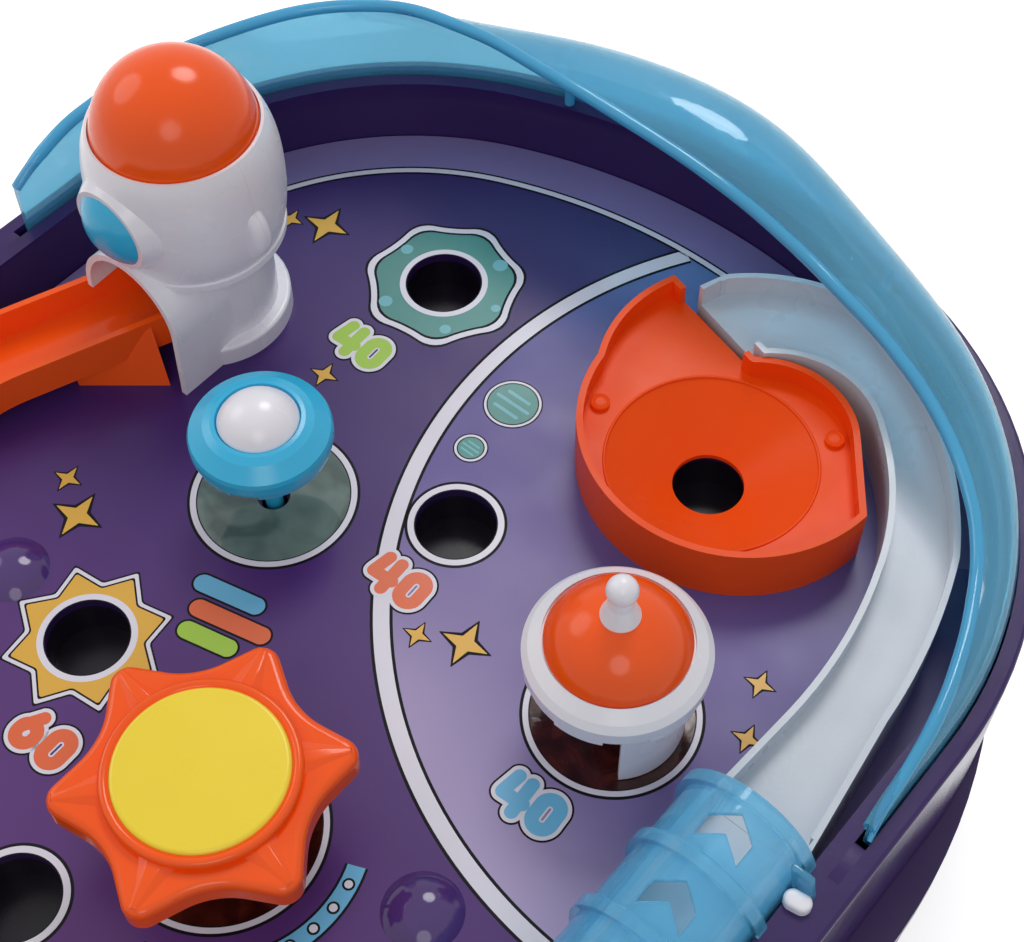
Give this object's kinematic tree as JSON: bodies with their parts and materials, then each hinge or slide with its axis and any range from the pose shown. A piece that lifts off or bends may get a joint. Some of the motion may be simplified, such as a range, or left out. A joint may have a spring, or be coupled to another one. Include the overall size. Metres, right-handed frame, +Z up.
{
  "type": "electronic tabletop pinball game",
  "caption": "Tabletop pinball game in a sloping arched tub with a clear curled visor, launch lane under a ribbed tube, funnel, rocket tower, bumpers, flippers and plunger.",
  "frame": {"origin": "centre of the overall box on the surface that the game stands on", "axes": "+X to the player's right, +Y from the player to the rear arch, +Z up; the deck slopes up to the rear by 5 degrees"},
  "size_m": [0.3428, 0.4972, 0.1734],
  "materials": {
    "dark_purple": "gloss",
    "belly_purple": "satin",
    "deck_print": "satin",
    "clear_blue": "gloss",
    "orange": "gloss",
    "yellow": "satin",
    "white": "gloss",
    "light_blue": "gloss",
    "black": "matte",
    "smoky_red": "gloss",
    "smoky_green": "gloss",
    "clear_purple": "gloss",
    "steel": "polished",
    "rubber": "matte",
    "board_green": "satin",
    "display": "gloss"
  },
  "bodies": {
    "housing": {"ball_cup_1": "dark_purple", "ball_cup_2": "dark_purple", "ball_cup_3": "dark_purple", "ball_cup_4": "dark_purple", "ball_cup_5": "dark_purple", "batteries": "steel", "battery_door": "belly_purple", "circuit_board": "board_green", "console_cover": "dark_purple", "display_lens": "display", "drain_tray": "dark_purple", "flipper_guides": "white", "funnel": "orange", "lamp_lens_left": "clear_purple", "lamp_lens_right": "clear_purple", "lane_ramp": "white", "launch_track": "white", "lower_housing": "belly_purple", "mushroom_disc": "smoky_green", "playfield_deck": "deck_print", "plunger_bushing": "dark_purple", "plunger_spring": "steel", "rocket_chute": "orange", "rocket_nose": "orange", "rocket_shell_front": "white", "rocket_shell_rear": "white", "rocket_window": "light_blue", "rubber_feet": "rubber", "saucer_disc": "smoky_red", "saucer_spindle": "dark_purple", "screws": "steel", "slingshots": "orange", "speaker": "black", "sun_disc": "smoky_red", "tube_cover": "clear_blue", "upper_housing": "dark_purple", "visor": "clear_blue"},
    "ball": {"steel_ball": "steel"},
    "plunger": {"plunger_rod": "steel", "plunger_knob": "orange", "plunger_tip": "rubber"},
    "left_flipper": {"flipper_left": "orange", "flipper_rubber_left": "rubber"},
    "right_flipper": {"flipper_right": "orange", "flipper_rubber_right": "rubber"},
    "left_button": {"flipper_button_left": "orange"},
    "right_button": {"flipper_button_right": "orange"},
    "mushroom_bumper": {"mushroom_stem": "light_blue", "mushroom_cap": "light_blue", "mushroom_dome": "white"},
    "sun_bumper": {"sun_stem": "orange", "sun_star": "orange", "sun_face": "yellow"},
    "saucer": {"saucer_wall": "white", "saucer_ring": "white", "saucer_dome": "orange", "saucer_knob": "white"},
    "switch": {"power_switch": "orange"},
    "start": {"start_button": "orange"}
  },
  "joints": [
    {"name": "left_flipper_swing", "type": "hinge", "parent": "housing", "child": "left_flipper", "pos_m": [-0.066, -0.12877, 0.05372], "axis": [0, -0.0872, 0.9962], "range_deg": [0, 42], "stiffness_Nm_per_rad": 0.03},
    {"name": "right_flipper_swing", "type": "hinge", "parent": "housing", "child": "right_flipper", "pos_m": [0.034, -0.12877, 0.05372], "axis": [0, 0.0872, -0.9962], "range_deg": [0, 42], "stiffness_Nm_per_rad": 0.03},
    {"name": "left_button_push", "type": "slide", "parent": "housing", "child": "left_button", "axis": [1, 0, 0], "range_m": [0, 0.00531]},
    {"name": "right_button_push", "type": "slide", "parent": "housing", "child": "right_button", "axis": [-1, 0, 0], "range_m": [0, 0.00531]},
    {"name": "plunger_pull", "type": "slide", "parent": "housing", "child": "plunger", "axis": [0, -0.9962, -0.0872], "range_m": [0, 0.022], "stiffness_N_per_m": 180, "deforming": ["plunger_spring"]},
    {"name": "ball_roll", "type": "slide", "parent": "housing", "child": "ball", "axis": [0, 0.9962, 0.0872], "range_m": [0, 0.05]},
    {"name": "mushroom_tilt", "type": "hinge", "parent": "housing", "child": "mushroom_bumper", "pos_m": [-0.0392, 0.06405, 0.05955], "axis": [1, 0, 0], "range_deg": [-4, 4], "stiffness_Nm_per_rad": 0.15},
    {"name": "sun_tilt", "type": "hinge", "parent": "housing", "child": "sun_bumper", "pos_m": [0.0236, -0.01853, 0.05232], "axis": [1, 0, 0], "range_deg": [-4, 4], "stiffness_Nm_per_rad": 0.25},
    {"name": "saucer_turn", "type": "hinge", "parent": "housing", "child": "saucer", "pos_m": [0.0804, 0.07126, 0.07122], "axis": [0, -0.0872, 0.9962], "continuous": true},
    {"name": "power_switch_slide", "type": "slide", "parent": "housing", "child": "switch", "axis": [1, 0, 0], "range_m": [0, 0.005]},
    {"name": "start_button_press", "type": "slide", "parent": "housing", "child": "start", "axis": [0, 0.0872, -0.9962], "range_m": [0, 0.002], "stiffness_N_per_m": 300}
  ],
  "couplings": [
    {"joint": "left_button_push", "follows": "left_flipper_swing", "m_per_rad": 0.0072302},
    {"joint": "right_button_push", "follows": "right_flipper_swing", "m_per_rad": 0.0072302}
  ]
}
